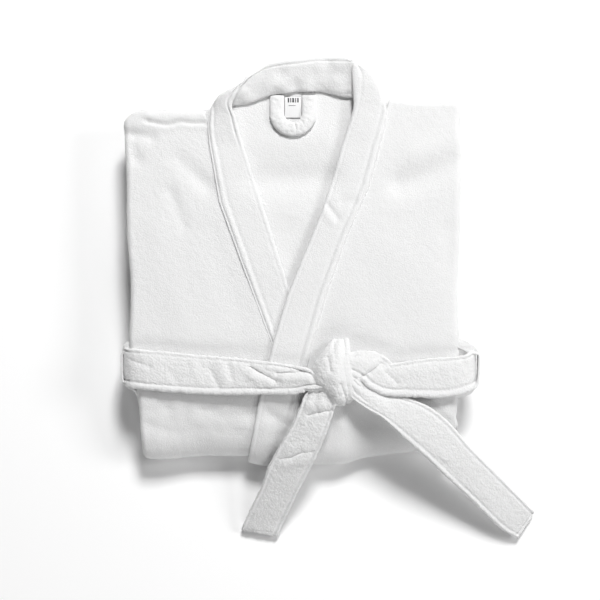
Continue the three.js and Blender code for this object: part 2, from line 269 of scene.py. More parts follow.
def tint(tree, source, shader, dark, light, low=0.0, high=1.0):
    """Colours the shader from dark at low to light at high, by the source."""
    colours = node(tree, "ShaderNodeValToRGB")
    first, last = colours.color_ramp.elements
    first.position, last.position = low, high
    first.color, last.color = (*dark, 1), (*light, 1)
    tree.links.new(source, colours.inputs["Fac"])
    tree.links.new(colours.outputs["Color"], shader.inputs["Base Color"])


def bump_by(tree, source, shader, strength, distance):
    """Bumps the shader's surface by the source."""
    bump = node(tree, "ShaderNodeBump", Strength=strength, Distance=distance)
    tree.links.new(source, bump.inputs["Height"])
    tree.links.new(bump.outputs["Normal"], shader.inputs["Normal"])


def terry_material(name, light, dark, tuft, depth):
    """Cotton terry: tufts in the bump, and shade between them in the colour."""
    material, tree, shader = new_material(name, 0.95)
    shader.inputs["Specular IOR Level"].default_value = 0.15
    shader.inputs["Sheen Weight"].default_value = 0.35
    shader.inputs["Sheen Roughness"].default_value = 0.6
    place = node(tree, "ShaderNodeTexCoord")
    fine = node(tree, "ShaderNodeTexNoise", Scale=tuft, Detail=3.0, Roughness=0.65)
    loops = node(tree, "ShaderNodeTexVoronoi", Scale=tuft * 0.9, Randomness=1.0)
    broad = node(tree, "ShaderNodeTexNoise", Scale=tuft / 6, Detail=2.0, Roughness=0.5)
    for texture in (fine, loops, broad):
        tree.links.new(place.outputs["Object"], texture.inputs["Vector"])
    height = node(tree, "ShaderNodeMath", operation="MULTIPLY_ADD")
    height.inputs[1].default_value = -0.5
    tree.links.new(loops.outputs["Distance"], height.inputs[0])
    tree.links.new(fine.outputs["Fac"], height.inputs[2])
    full = node(tree, "ShaderNodeMath", operation="MULTIPLY_ADD")
    full.inputs[1].default_value = 0.35
    tree.links.new(broad.outputs["Fac"], full.inputs[0])
    tree.links.new(height.outputs[0], full.inputs[2])
    bump_by(tree, full.outputs[0], shader, 0.5, depth)
    tint(tree, height.outputs[0], shader, dark, light, 0.3, 0.75)
    return material


SHAGGY = terry_material("terry_long_pile", (0.87, 0.87, 0.868), (0.74, 0.74, 0.74), 430.0, 0.0019)
TERRY = terry_material("terry", (0.85, 0.85, 0.848), (0.75, 0.75, 0.75), 620.0, 0.0011)


def finish_piece(obj, body, nodes, material=TERRY):
    """Gives the piece its cloth, the body it rides on and the parts it stands for."""
    obj.data.materials.append(material)
    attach(obj, body)
    if nodes:
        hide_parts(*nodes)


# ---------------------------------------------------------------- the folded cloth
def half_wave(v, start, end):
    """From 0 at start to 1 at end, along half a cosine wave."""
    return (1 - np.cos(np.pi * np.clip((v - start) / (end - start), 0, 1))) / 2


def lift(y):
    """How far the underside is off the floor: over the belt, over the pockets, and down at both folds."""
    over_belt = BELT_LIFT * half_wave(y, FOLD_Y, BELT_RISE_END_Y)
    over_belt = over_belt - (BELT_LIFT - POCKET_LIFT) * half_wave(y, *BELT_DROP_Y)
    return over_belt - POCKET_LIFT * half_wave(y, *POCKET_DROP_Y)


def folded_path(start_y):
    """The cloth's outer face from the shoulder to the hem: y, z, inward ny, nz, and 1 on the chest."""
    chest = steps(start_y, FOLD_Y, CHEST_STEP)[:-1]
    a = np.linspace(0, math.pi, 36)
    skirt = steps(FOLD_Y, TOP_FOLD_Y, SKIRT_STEP)[1:-1]
    b = np.linspace(0, math.pi, 20)
    inner = steps(TOP_FOLD_Y, HEM_Y, INNER_STEP)[1:]
    one, zero = np.ones_like, np.zeros_like
    y = np.concatenate([chest, FOLD_Y - BOTTOM_R * np.sin(a), skirt,
                        TOP_FOLD_Y + TOP_FOLD_R * np.sin(b), inner])
    z = np.concatenate([TOP_Z * one(chest), BOTTOM_R * (1 + np.cos(a)), lift(skirt),
                        TOP_FOLD_R * (1 - np.cos(b)), 2 * TOP_FOLD_R + lift(inner)])
    ny = np.concatenate([zero(chest), np.sin(a), zero(skirt), -np.sin(b), zero(inner)])
    nz = np.concatenate([-one(chest), -np.cos(a), one(skirt), np.cos(b), -one(inner)])
    upper_half = (a < math.pi / 2).astype(float)
    on_top = np.concatenate([one(chest), upper_half, zero(skirt), zero(b), zero(inner)])
    return np.stack([y, z, ny, nz, on_top], axis=-1)


def edge_x(line, path):
    """An edge of the cloth at each station: along its chest line, and straight below the fold."""
    straight = along(line, LINES_END_Y)
    return np.where(path[:, 4] > 0, along(line, np.maximum(path[:, 0], LINES_END_Y)), straight)


def swept(path, x, depth):
    """Points of sections (x, depth) at the path's stations, both rows by columns."""
    y = path[:, None, 0] + depth * path[:, None, 2]
    z = path[:, None, 1] + depth * path[:, None, 3]
    return np.stack([x + 0 * y, y, z], axis=-1)


# How far the soft outline lies off the straight packet: its two sides at places y, then its top and
# bottom edges at places x
RIGHT_SIDE = [
    (200, -4), (194, -3.5), (150, -1.5), (84, -0.5), (-34, 4), (-77, 3), (-110, 4), (-140, 13),
    (-175, 15), (-222, 17),
]
LEFT_SIDE = [
    (222, 3), (186, 0.5), (144, 3.5), (60, 1), (-1, -1.5), (-48, -1.5), (-75, 0), (-139, -1.5),
    (-170, -3), (-190, 0), (-222, -2),
]
TOP_EDGE = [
    (-215, -30), (-203, -17), (-192, -8), (-181, -4.5), (-150, -5), (-111, -6), (-91, 2), (80, 4),
    (108, 5), (116, 8.5), (127, 7), (140, 4.5), (173, 3), (196, 4.5), (204, -2), (210, -14),
]
RIGHT_BOTTOM = [
    (-215, 0), (-203, -4), (-190, -5), (-175, -5), (-160, -4), (-112, -1), (-60, -1), (0, 0), (215, 4),
]
LEFT_BOTTOM = [
    (-80, 0), (-62, -1), (-50, -6), (-37, -9), (0, -8.5), (23, -9), (50, -9), (64, -8), (92, 0),
    (139, 6), (160, 9), (190, 13), (203, 22), (215, 30),
]
SAG = 31
BELT_SQUEEZE = 0.7


def settle(points, bottom):
    """Bends the straight stack to the outline of soft cloth, and lets it sag below the belt."""
    p = points.copy()
    x, y, z = p[..., 0], p[..., 1], p[..., 2]
    out = ramp(np.abs(x), 90, 200)
    side = np.where(x < 0, along(RIGHT_SIDE, y), along(LEFT_SIDE, y))
    inset = 2.5 * ramp(z, 44, 30) + 1.2 * noise(p, 60, 5)
    new_x = x + out * (side - np.sign(x) * inset)
    new_y = y + ramp(y, 120, 212) * along(TOP_EDGE, x) * ramp(z, 30, 50)
    new_y = new_y + ramp(y, -150, -218) * along(bottom, x)
    drop = SAG * (np.clip((-130 - y) / 90, 0, 1)) ** 1.15
    drop = drop * (1 - 0.2 * ramp(x, 120, 190) - 0.2 * ramp(x, -120, -190))
    # A hollow in the skirt, under the long tail
    drop = drop + 7 * ramp(x, 50, 90) * ramp(x, 170, 120) * ramp(y, -140, -165)
    new_z = z * (1 - drop / TOP_Z)
    squeeze = ramp(y, -150, -137) * ramp(y, -92, -106) * ramp(z, 30, 62)
    p[..., 0], p[..., 1], p[..., 2] = new_x, new_y, new_z - BELT_SQUEEZE * squeeze
    return p


# Soft folds of the chest and the skirt: two ends, half width and height, in the packet's x and y
CHEST_FOLDS = [
    ((208, 146), (132, 118), 16, -4.6), ((206, 176), (150, 156), 16, 1.6),
    ((190, 112), (130, 92), 18, 0.4), ((-204, 182), (-174, 177), 7, -4.0),
    ((-198, 168), (-192, 150), 9, -2.4), ((-165, 60), (-130, -60), 22, 1.3),
    ((-140, 150), (-104, 116), 11, -2.6), ((-100, 60), (-60, -60), 18, -1.0),
    ((120, 40), (170, -60), 26, 0.9), ((-45, 124), (45, 128), 18, -4.2),
    ((-40, 172), (40, 176), 16, 1.2), ((-20, 86), (20, 84), 18, 1.2), ((190, 60), (203, -40), 14, -1.4),
    ((-150, 110), (-134, 70), 8, -1.6), ((-120, -168), (-60, -178), 9, 1.6),
    ((-180, -176), (-120, -196), 8, -1.4), ((60, -176), (86, -196), 9, 2.6),
    ((30, -190), (46, -204), 7, -2.2), ((100, -176), (130, -190), 10, -2.0),
    ((-30, -160), (-6, -176), 6, -1.4),
]


def chest_relief(points):
    """Height of the soft folds over the chest and the skirt, fading out towards the underside."""
    x, y, z = points[..., 0], points[..., 1], points[..., 2]
    total = 0.8 * noise(points, 75, 11) + 0.3 * noise(points, 34, 12)
    total += (1.5 * noise(points, 26, 13) + 0.7 * noise(points, 11, 14)) * ramp(y, -138, -160)
    for (x0, y0), (x1, y1), wide, high in CHEST_FOLDS:
        dx, dy = x1 - x0, y1 - y0
        t = ((x - x0) * dx + (y - y0) * dy) / (dx * dx + dy * dy)
        s = np.clip(t, 0, 1)
        far = np.hypot(x - x0 - s * dx, y - y0 - s * dy)
        total += high * bell(far, wide) * (0.9 + 0.2 * np.sin(4 * t + wide))
    return total * ramp(z, 36, 56)


def puff(points):
    """Raises the chest by its soft folds; the layers under it rise with it."""
    p = points.copy()
    p[..., 2] += chest_relief(points)
    return p


# The crease along the right shoulder: y at places x
SHOULDER_CREASE = [
    (-186, 197.5), (-180, 196.5), (-168, 194), (-152, 191.5), (-137, 196), (-125, 194), (-107, 194),
]


def shoulder_roll(points, radius, within):
    """The front's top end rolls down over the shoulder, from some millimetres within its edge."""
    p = points.copy()
    edge = SHOULDER_Y + along(TOP_EDGE, p[..., 0])
    d = np.clip((p[..., 1] - (edge - within)) / radius, 0, 0.98)
    p[..., 2] -= radius * (1 - np.sqrt(1 - d * d)) * ramp(p[..., 2], 40, 56)
    return p


# How far a front reaches under its band
UNDER_BAND = 3.0


def shoulder_crease_relief(mid):
    """A crease along the shoulder, under a rolled and puckered edge."""
    x, y = mid[..., 0], mid[..., 1]
    gap = y - along(SHOULDER_CREASE, x)
    within = ramp(x, -188, -176) * ramp(x, -101, -110) * (mid[..., 2] > 45)
    lumps = 0.6 + 0.6 * noise(mid, 13, 19)
    relief = within * (-2.8 * bell(gap, 1.9) + 2.0 * lumps * bell(gap - 6.5, 4))
    return relief + within * 0.7 * bell(gap + 5, 3)


def front_panel(name, side, level, turn, outer, roll, seam, bottom, node_name):
    """A front from its band seam out to the side, round the side seam and back under the chest.

    Its outer face is level deep, and it turns at the side round an axis turn deep, with the radius
    outer. The roll is the shoulder's radius and how far within the edge it starts."""
    path = folded_path(SHOULDER_Y)
    radius = outer - CLOTH / 2
    cx = side * (HALF_WIDTH - outer)
    inner_x = edge_x(seam, path) - side * UNDER_BAND
    # Only the edge under the band is rounded, so the places by the other edge are dropped
    u = edged(150, 2.5, CLOTH / 2)[:-6]
    u = u / u[-1]
    flat_x = inner_x[:, None] + (cx - inner_x[:, None]) * u[None, :]
    flat_n = np.full_like(flat_x, level + CLOTH / 2)
    a = np.linspace(0, math.pi, 13)[1:-1]
    turn_x = np.broadcast_to(cx + side * radius * np.sin(a), (len(path), len(a)))
    turn_n = np.broadcast_to(turn - radius * np.cos(a), (len(path), len(a)))
    flap = np.linspace(cx, side * FLAP_END_X, 14)
    flap_x = np.broadcast_to(flap, (len(path), len(flap)))
    flap_n = np.full_like(flap_x, FRONT_FLAP + CLOTH / 2)
    x = np.hstack([flat_x, turn_x, flap_x])
    depth = np.hstack([flat_n, turn_n, flap_n])
    mid = puff(shoulder_roll(settle(swept(path, x, depth), bottom), *roll))
    edge = np.abs(x - inner_x[:, None])
    half = CLOTH / 2 * np.where(np.arange(x.shape[1]) < len(u), rounded(edge, CLOTH / 2), 1.0)
    relief = shoulder_crease_relief(mid) if side < 0 else None
    obj = sheet_mesh(name, mid, half, seed=3 + side, flip=side > 0, relief=relief)
    finish_piece(obj, "robe", [node_name])


def back_panel():
    """The whole back, with both its side flaps turned under."""
    path = folded_path(NECK_Y)
    radius = 1.7
    cx = HALF_WIDTH - 8.5
    turn = LEVEL[2] + CLOTH / 2 + radius
    a = np.linspace(0, math.pi, 7)[1:-1]
    flap = np.linspace(FLAP_END_X, cx, 10)
    side_x = np.concatenate([flap, cx + radius * np.sin(a[::-1])])
    side_depth = np.concatenate([flap * 0 + BACK_FLAP + CLOTH / 2 + 0.2, turn - radius * np.cos(a[::-1])])
    flat = steps(cx, -cx, 2.5)
    x = np.concatenate([side_x, flat, -side_x[::-1]])
    depth = np.concatenate([side_depth, flat * 0 + LEVEL[2] + CLOTH / 2, side_depth[::-1]])
    shape = (len(path), len(x))
    mid = puff(settle(swept(path, np.broadcast_to(x, shape), np.broadcast_to(depth, shape)), RIGHT_BOTTOM))
    # Outside the neck the panel ends under the shoulder rolls, and inside it under the collar's seam
    on_top = ramp(mid[..., 2], 30, 45)
    over = ramp(np.abs(mid[..., 0]), 88, 104) * ramp(mid[..., 1], 150, 222) * on_top
    neck = ramp(np.abs(mid[..., 0] - 8), 74, 50) * ramp(mid[..., 1], 212, 228) * on_top
    mid[..., 1] += 6 * neck - 14 * over
    half = np.full(shape, CLOTH / 2 - 0.1)
    obj = sheet_mesh("back_panel_cloth", mid, half, seed=9, flip=True)
    finish_piece(obj, "robe", ["back_panel"])


# ---------------------------------------------------------------- the collar
BAND_HALF = 2.5
LAPEL_END_Y = 165.0
# Rows of the mesh between two neck stations, and rows of each lapel that steer the join with it
STATION_ROWS = 12
LEAD_ROWS = 6
# Neck stations from the wearer's right lapel to the left one: seam, middle and free edge
NECK_STATIONS = [
    ((-104, 186, 62.5), (-86, 188, 64), (-66, 185, 64)),
    ((-102, 202, 61.5), (-87, 206, 66), (-70, 200, 66.5)),
    ((-95, 213, 60.5), (-90, 220, 68), (-74, 214, 69)),
    ((-82, 215, 60), (-84, 227, 69.5), (-68, 228, 71.5)),
    ((-64, 215.5, 60.6), (-67, 233, 69.5), (-59.5, 240, 71.5)),
    ((-47, 220.5, 61), (-51, 240, 67), (-46.5, 253, 70)),
    ((-30, 227.5, 61.2), (-32, 246, 65.8), (-31, 263.5, 69)),
    ((-15, 230, 61.4), (-15, 248, 65.8), (-14, 268, 69)),
    ((6, 232, 61.4), (6, 250, 65.8), (6, 270.5, 69)),
    ((29, 232.5, 61.2), (31, 253, 65.8), (35, 273, 69.5)),
    ((47, 229, 61.2), (53, 251, 67), (59, 272.5, 71.5)),
    ((64, 225.5, 60.6), (75, 254, 71), (70, 267.5, 74)),
    ((82, 224, 60.8), (93, 252, 70.5), (71, 254, 74)),
    ((96, 220, 62), (101, 239, 70), (72, 240, 73)),
    ((108, 216, 64.5), (101, 226, 69), (73, 226, 71)),
    ((115, 206, 65), (96, 209, 67.5), (73, 210, 69)),
    ((112.5, 188, 65.2), (90, 190, 66.8), (67, 190, 67)),
]


def lapel_rows(level, seam, free, bottom, u):
    """The band from the chest down to the hem, on the folded path: rows by columns by 3."""
    path = folded_path(LAPEL_END_Y)
    a, b = edge_x(seam, path)[:, None], edge_x(free, path)[:, None]
    x = a + (b - a) * u[None, :]
    hidden = 1.1 * ramp(path[:, 0], 20, -25) if level > 0 else 0 * path[:, 0]
    under = 1.5 * ramp(path[:, 1], 30, 8) if level == 0 else 0 * path[:, 0]
    depth = (level + 0.2 + hidden + under)[:, None] + 0 * x
    return puff(settle(swept(path, x, depth), bottom))


# Places across the band, in millimetres from its seam: closest at the seam's ridge and at the free edge
BAND_WIDE = 50.0
BAND_ACROSS = [
    0, 0.35, 0.9, 1.6, 2.3, 3.0, 3.8, 4.7, 5.7, 6.8, 8.0, 9.2, 10.6, 12.3, 14.3, 16.5, 19, 21.5, 24,
    26.5, 29, 31.5, 34, 36, 37.8, 39.4, 40.8, 42, 43.2, 44.4, 45.6, 46.8, 47.9, 48.8, 49.5, 49.85, 50,
]


def collar_band():
    """One band, from hem to hem: up the right lapel, round the neck and down the left lapel."""
    u = np.array(BAND_ACROSS) / BAND_WIDE
    right = lapel_rows(LEVEL[1], RIGHT_SEAM, RIGHT_FREE, RIGHT_BOTTOM, u)[::-1]
    left = lapel_rows(LEVEL[0], LEFT_SEAM, LEFT_FREE, LEFT_BOTTOM, u)
    middle = int(np.argmin(np.abs(u - 0.5)))

    def three_points(row):
        return np.concatenate([row[0], row[middle], row[-1]])

    controls = [three_points(right[-1 - LEAD_ROWS]), three_points(right[-1])]
    controls += [np.array(station, float).ravel() for station in NECK_STATIONS]
    controls += [three_points(left[0]), three_points(left[LEAD_ROWS])]
    fine = smooth_curve(controls, (len(controls) - 1) * STATION_ROWS + 1)
    fine = fine[STATION_ROWS + 1 : -STATION_ROWS - 1]
    s, m, f = fine[:, None, 0:3], fine[:, None, 3:6], fine[:, None, 6:9]
    v = u[None, :, None]
    neck = s * (1 - v) * (1 - 2 * v) + 4 * m * v * (1 - v) + f * v * (2 * v - 1)
    # Behind the neck it rises steeply from the seam and then lies back almost flat
    place = np.arange(len(neck))[:, None] / STATION_ROWS + 1
    flat = ramp(place, 4.5, 6.5) * ramp(place, 13.2, 11.8)
    level = s[..., 2] + (f[..., 2] - s[..., 2]) * (1 - (1 - v[..., 0]) ** 2.4)
    neck[..., 2] += flat * (level - neck[..., 2])
    mid = np.vstack([right, neck, left])
    from_seam = u[None, :] * BAND_WIDE + 0 * mid[..., 0]
    from_free = BAND_WIDE - from_seam
    run = np.arange(len(mid))[:, None] - len(right)
    station = np.clip(run / STATION_ROWS + 1, 0, len(controls) - 1)
    at_neck = ramp(station, 4, 6) * ramp(station, 13.5, 12)
    right_turn = ramp(station, 0.5, 2.5) * ramp(station, 9, 6.5)
    left_turn = ramp(station, 10, 11.5) * ramp(station, 16.5, 14)
    half = BAND_HALF - 0.7 * bell(from_seam, 1.6)
    lapel = 1 - 0.9 * at_neck
    half = half - 0.8 * lapel * bell(from_seam - 3.0, 0.9)
    half = half + 0.7 * lapel * bell(from_seam - 6.6, 2.4)
    half = half - 0.6 * lapel * bell(from_seam - 11.4, 1.9)
    half = half - 1.1 * at_neck * bell(from_free - 6.5, 1.1)
    hem_at = 6.0 + 1.6 * np.maximum(right_turn, left_turn)
    deep = 0.35 + 1.3 * at_neck + 2.2 * right_turn + 0.7 * left_turn
    half = half * (1 - 0.42 * ramp(mid[..., 2], 30, 8))
    half = half * rounded(from_seam, 1.6) * rounded(from_free, 1.5 * BAND_HALF)
    x, y = mid[..., 0], mid[..., 1]
    # Puckers of the inner face behind the neck, and the seam that joins the band's two lengths
    wave = np.sin(x / 5.6 + 1.4 * np.sin(x / 17)) * np.exp(-from_seam / 9)
    wave = wave + 0.5 * np.sin(x / 8 + 0.6 * np.sin(from_seam / 6)) * bell(from_seam - 14, 9)
    facing_up = (mid[..., 2] > 50) & (x > 20) & (from_free > 2)
    join = -1.8 * bell(segment_gap(x, y, (41, 95), (55, 76)), 2.3)
    join = join + 0.9 * bell(segment_gap(x, y, (36, 88), (48, 71)), 3.5)
    join = join - 0.9 * bell(segment_gap(x, y, (62, 98), (75, 97)), 6.0)
    relief = join * facing_up - deep * bell(from_free - hem_at, 1.2)
    valley = ramp(station, 11.2, 12.0) * ramp(station, 13.6, 12.8)
    relief = relief - 2.0 * valley * bell(from_free - 8, 6)
    mid = mid + normals(mid) * (1.5 * at_neck * (wave + 1.1 * noise(mid, 14, 22)))[..., None]
    obj = sheet_mesh("collar_band", mid, half, pile=0.15, seed=21, relief=relief)
    finish_piece(obj, "robe", ["right_collar_band", "neck_collar", "left_collar_band"])


# ---------------------------------------------------------------- strips: belt, tails and loops
def hem(d, groove_at, bead=0.9, deep=1.4):
    """A stitched edge: a bead along it, and the groove of the stitching at groove_at."""
    ridge = bell(d - 0.45 * groove_at, 0.38 * groove_at)
    return bead * ridge - deep * bell(d - groove_at, 1.15)


def round_ends(half, mid, thick):
    """The same half thickness, brought to nothing along a quarter circle at both ends."""
    run = run_along(mid.mean(1))
    return half * rounded(run, thick)[:, None] * rounded(run[-1] - run, thick)[:, None]


def even(points, step):
    """The same curve with its rows step millimetres apart."""
    dense = smooth_curve(points, 40 * len(points))
    run = run_along(dense[:, :3])
    at = np.linspace(0, run[-1], int(run[-1] / step))
    return np.stack([np.interp(at, run, dense[:, k]) for k in range(dense.shape[1])], axis=-1)


def creases(points, folds):
    """Height of folds drawn as segments in plan: two ends, half width and height."""
    x, y = points[..., 0], points[..., 1]
    total = 0 * x
    for a, b, wide, high in folds:
        total = total + high * bell(segment_gap(x, y, a, b), wide)
    return total


BELT_HALF = 2.9
BELT_WIDE = 50
TAIL_WIDE = 46
# The belt's ring from the knot round by -x, under the packet and back: x, y, z of its middle, half width
BELT_RING = [
    (48, -121, 79, 7), (36, -121.5, 78, 8.5), (23.4, -121.5, 76.8, 10.8), (16, -118.8, 75.2, 14.3),
    (6, -118.3, 73.8, 16.8), (-4, -118.3, 72.6, 18.4), (-35, -116.6, 70.6, 20.4),
    (-60, -115.2, 69.4, 21.8), (-99, -113.2, 68.2, 23.3), (-135, -110.6, 67.6, 23.9),
    (-165, -108, 67.2, 24.1), (-185, -106.5, 65.8, 24), (-198, -105, 61, 23.5),
    (-204.3, -103.5, 51, 23.5), (-204.8, -101.5, 36, 24.5), (-204, -102, 18, 25), (-198, -104, 7, 25),
    (-184, -106, 3.5, 25), (-100, -109, 3.2, 25), (0, -109, 3.2, 25), (100, -108, 3.2, 25),
    (185, -104, 3.6, 25), (203, -101, 8, 25), (215.5, -99, 20, 25.5), (220.5, -100, 38, 25),
    (219.5, -105, 54, 24), (214, -110, 64, 22.8), (204, -113, 68.5, 23.5), (190, -115.7, 70.2, 24.5),
    (166, -116.7, 70.5, 24.3), (142, -117.7, 71.2, 22.1), (120, -118.6, 72.6, 19.6),
    (110, -117, 74, 19), (103, -111, 75.5, 21), (93.5, -104, 77, 20), (80, -100.5, 78.5, 17),
    (72, -99.5, 79, 14.5), (60, -98, 79, 13),
]
# Folds where the belt is drawn into the knot
BELT_FOLDS = [
    ((-52, -103), (-40, -110.6), 2.2, -2.2), ((-40, -110.6), (-20.6, -120.3), 2.2, -3.0),
    ((-50, -114), (-28, -123), 4.0, 1.6), ((-19.4, -110.6), (18, -109.4), 2.0, -2.6),
    ((-6, -102), (18, -109.4), 1.8, -2.4), ((-12, -117), (18, -117), 4.0, 2.2),
    ((-30, -104), (-8, -107), 2.5, 1.0), ((-100.7, -107), (-91, -125), 4.0, -1.3),
    ((-79, -101), (-74, -117), 3.0, -1.1), ((-90, -97), (-81, -121), 5.0, 0.9),
    ((-64, -102), (-40, -124), 5.0, 1.0), ((-200, -95), (-174, -103), 3.0, -1.5),
    ((-149, -109), (-140, -121), 4.0, -0.8), ((-122, -100), (-114, -120), 5.0, 0.6),
    ((79, -116.7), (93, -108.5), 2.6, -2.6), ((93, -108.5), (107, -98.5), 2.6, -2.8),
    ((84, -121), (112, -105), 5.0, 0.8), ((74, -92.4), (80, -86.3), 1.8, -1.5),
    ((112, -109), (126, -122.7), 2.6, -1.4), ((130, -108), (180, -106), 9.0, 0.9),
]


def belt_ring():
    """The belt from the knot round the packet and back, drawn together at the knot."""
    rows = even(BELT_RING, 1.9)
    centre, wide = rows[:, :3], rows[:, 3]
    t = unit(np.gradient(centre, axis=0))
    across = unit(np.array([0.0, 1.0, 0.0]) - t * t[:, 1:2])
    u = edged(BELT_WIDE, 1.45, BELT_HALF)
    v = 2 * u - 1
    mid = centre[:, None] + across[:, None] * (v[None, :] * wide[:, None])[..., None]
    above = ramp(mid[..., 2], 58, 66)
    mid[..., 2] += 1.9 * ramp(mid[..., 2], 9, 6)
    inner = 1 - np.abs(v[None, :]) ** 6
    crown = 1.8 * (1 - v[None, :] ** 2) * ramp(centre[:, 2], 8, 40)[:, None]
    mid = mid + normals(mid) * (creases(mid, BELT_FOLDS) * above * inner + crown)[..., None]
    bare = ramp(mid[..., 0], 64, 74) * ramp(mid[..., 0], 116, 104) * ramp(v[None, :], 0.1, 1)
    mid[..., 2] += above * (0.7 * noise(mid, 26, 40) + 1.5 * ramp(v[None, :], -0.7, -1) - 3.5 * bare)
    mid[..., 1] += 0.8 * noise(mid, 40, 41)
    low, high = u[None, :] * 2 * wide[:, None], (1 - u[None, :]) * 2 * wide[:, None]
    mid[..., 1] += 0.9 * noise(mid, 3.0, 43) * (bell(low, 2.5) + bell(high, 2.5))
    soft = 1 - ramp(mid[..., 0], 60, 70) * ramp(mid[..., 0], 116, 102)
    low_hem = hem(low, 8.2 + 1.2 * ramp(mid[..., 0], 60, 150), 1.1, 1.5)
    half = BELT_HALF + low_hem + hem(high, 4.4, 0.5, 1.2) * soft
    half = half * rounded(np.minimum(low, high), BELT_HALF)
    half = round_ends(half, mid, 3)
    obj = sheet_mesh("belt_round_packet", mid, half, pile=0.25, seed=31)
    finish_piece(obj, "belt", ["belt_wrap"], SHAGGY)


# The tails: both edges in plan at stations from the knot out, and the height of each edge
SHORT_TAIL = [
    ((34, -123, 77), (60, -127, 77)), ((20, -130, 73), (56, -135, 76)),
    ((12.5, -140, 71), (52, -149, 73.5)), ((8.8, -151, 70), (49.5, -157.5, 70.5)),
    ((-4.6, -179, 65), (42.5, -180, 65)), ((-18.6, -204, 57), (32.4, -206, 57)),
    ((-31, -228, 47.5), (22, -228, 47.5)), ((-41.3, -257, 34), (8, -257, 34)),
    ((-54.4, -285, 20.5), (-4, -285, 20.5)), ((-61.5, -301, 12.5), (-11.6, -301, 12.5)),
    ((-66, -313.5, 5), (-20.5, -322.5, 5)),
]
LONG_TAIL = [
    ((63, -126, 79), (71, -109, 80)), ((73, -141, 78), (79, -117, 79)),
    ((90, -154, 76), (96, -126, 75)), ((107, -164.5, 73.5), (115, -134, 69.5)),
    ((121.4, -177, 71), (137, -140, 69)), ((138.5, -193.5, 66.5), (166.5, -152, 66.5)),
    ((160, -213, 59), (191.6, -172.4, 59)), ((180.9, -233, 51), (214, -198, 51)),
    ((204, -255, 41), (238.7, -223, 41)), ((233.4, -282.5, 28.5), (268.4, -253, 28.5)),
    ((260.5, -309, 15.5), (294.5, -279, 15.5)), ((284.5, -324.5, 5.5), (306, -290, 5.5)),
]
SHORT_FOLDS = [
    ((19, -162), (32, -157.5), 2.2, -3.0), ((32, -157.5), (49, -155), 2.2, -1.8),
    ((21, -150), (34, -148), 6.0, 1.6), ((-15, -216), (-3, -214.5), 2.0, -1.6),
    ((-3, -214.5), (11, -208), 2.0, -1.8), ((11, -208), (23, -207.5), 2.0, -1.0),
    ((-10, -225), (14, -218), 5.0, 1.2), ((-8, -205), (14, -199), 5.0, 0.8),
]
LONG_FOLDS = [
    ((176, -215), (186, -224), 4.0, -0.9), ((186, -224), (202, -240), 4.0, -0.7),
    ((170, -200), (184, -214), 6.0, 0.5), ((214, -258), (232, -272), 5.0, -0.7),
    ((92, -140), (112, -152), 7.0, 1.0),
]


def tail(name, stations, node_name, seed, folds, hem_low, hem_high):
    """A free end of the belt, from the knot over the packet's edge down to the floor."""
    rows = even([(*a, *b) for a, b in stations], 1.5)
    u = edged(TAIL_WIDE, 1.3, BELT_HALF)
    v = u[None, :, None]
    mid = rows[:, None, 0:3] * (1 - v) + rows[:, None, 3:6] * v
    run = run_along(mid.mean(1))
    w = (2 * u - 1)[None, :]
    near = bell(run, 26)[:, None]
    free = 1 - np.abs(w) ** 6
    tip = ramp(run[-1] - run, 0, 25)[:, None]
    rise = creases(mid, folds) * free + 1.2 * near * np.sin(8 * w + 1.0) * free + 1.3 * tip * (1 - w**2)
    mid[..., 2] += rise + 0.7 * tip * noise(mid, 30, seed)
    mid[..., 0] += 0.6 * noise(mid, 35, seed + 3)
    low, high = u[None, :] * TAIL_WIDE + 0 * rise, (1 - u[None, :]) * TAIL_WIDE + 0 * rise
    mid[..., 0] += 0.5 * noise(mid, 3.4, seed + 5) * (bell(low, 2.5) + bell(high, 2.5))
    side, end = np.minimum(low, high), (run[-1] - run)[:, None] + 0 * rise
    half = BELT_HALF + hem(low, hem_low, 0.7, 1.2) + hem(high, hem_high, 0.7, 1.2)
    half = (half + hem(end, 4.5, 0.4, 1.3) * ramp(side, 1, 4)) * rounded(side, BELT_HALF)
    corner = rounded(np.minimum(end + side, 9) - 2, 4)
    half = round_ends(half * corner, mid, BELT_HALF)
    obj = sheet_mesh(name, mid, np.maximum(half, 0), pile=0.22, seed=seed, flip=True)
    obj.data.materials.append(SHAGGY)
    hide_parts(node_name)
    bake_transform(obj)


# The knot's outline from above: x of its two sides at places y
KNOT_LOW_X = [
    (-148.5, 54), (-146, 47), (-142, 42), (-134.7, 36.5), (-126, 29), (-121.5, 25.8), (-113, 23),
    (-105.5, 23.6), (-99, 27), (-93.6, 31), (-83.8, 39), (-77, 44), (-72, 49),
]
KNOT_HIGH_X = [
    (-148.5, 58), (-146, 64), (-143, 70), (-139, 73), (-130, 73.5), (-117.4, 72.2), (-100.9, 69),
    (-85, 68), (-72, 66.5),
]
KNOT_FOLDS = [
    ((57, -123), (61, -134), 2.2, -3.4), ((61, -134), (64, -146), 2.4, -3.0),
    ((35, -124), (46, -138), 2.4, -2.0), ((43, -92), (46, -108), 2.5, -1.2),
    ((50, -128), (54, -142), 3.5, 1.4), ((38, -112), (52, -118), 5.0, 1.0),
    ((50, -78), (52, -100), 3.0, -0.8), ((29, -116), (38, -130), 3.0, 1.2),
]


